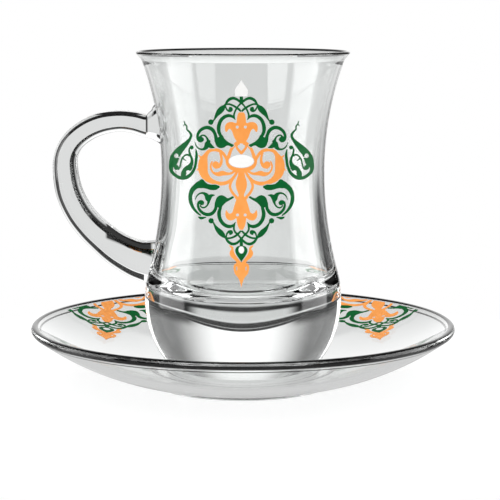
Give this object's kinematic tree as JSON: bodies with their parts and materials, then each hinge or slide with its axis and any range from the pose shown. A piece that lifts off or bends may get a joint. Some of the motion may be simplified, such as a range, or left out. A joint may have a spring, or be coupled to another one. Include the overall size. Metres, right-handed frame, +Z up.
{
  "type": "teacup and saucer",
  "caption": "Waisted glass teacup with a flared lip, thick base and loop handle, standing in a shallow glass saucer, both printed with an enamel arabesque medallion.",
  "frame": {"origin": "on the shared axis of cup and saucer, at the table plane under the saucer's foot ring", "axes": "+Z up along the axis of cup and saucer, -Y towards the printed face of the cup, -X towards the handle"},
  "size_m": [0.135, 0.135, 0.1061],
  "materials": {
    "clear_glass": "fire-polished clear soda-lime glass",
    "green_enamel": "opaque glossy fired enamel",
    "orange_enamel": "opaque glossy fired enamel",
    "white_enamel": "opaque glossy fired enamel"
  },
  "bodies": {
    "saucer_body": {"saucer": "clear_glass", "saucer_print_green": "green_enamel", "saucer_print_orange": "orange_enamel"},
    "cup_body": {"cup_bowl": "clear_glass", "cup_handle": "clear_glass", "cup_print_green": "green_enamel", "cup_print_orange": "orange_enamel", "cup_print_white": "white_enamel"}
  },
  "joints": [
    {"name": "cup_lift", "type": "slide", "parent": "saucer_body", "child": "cup_body", "axis": [0, 0, 1], "range_m": [0, 0.06]}
  ]
}
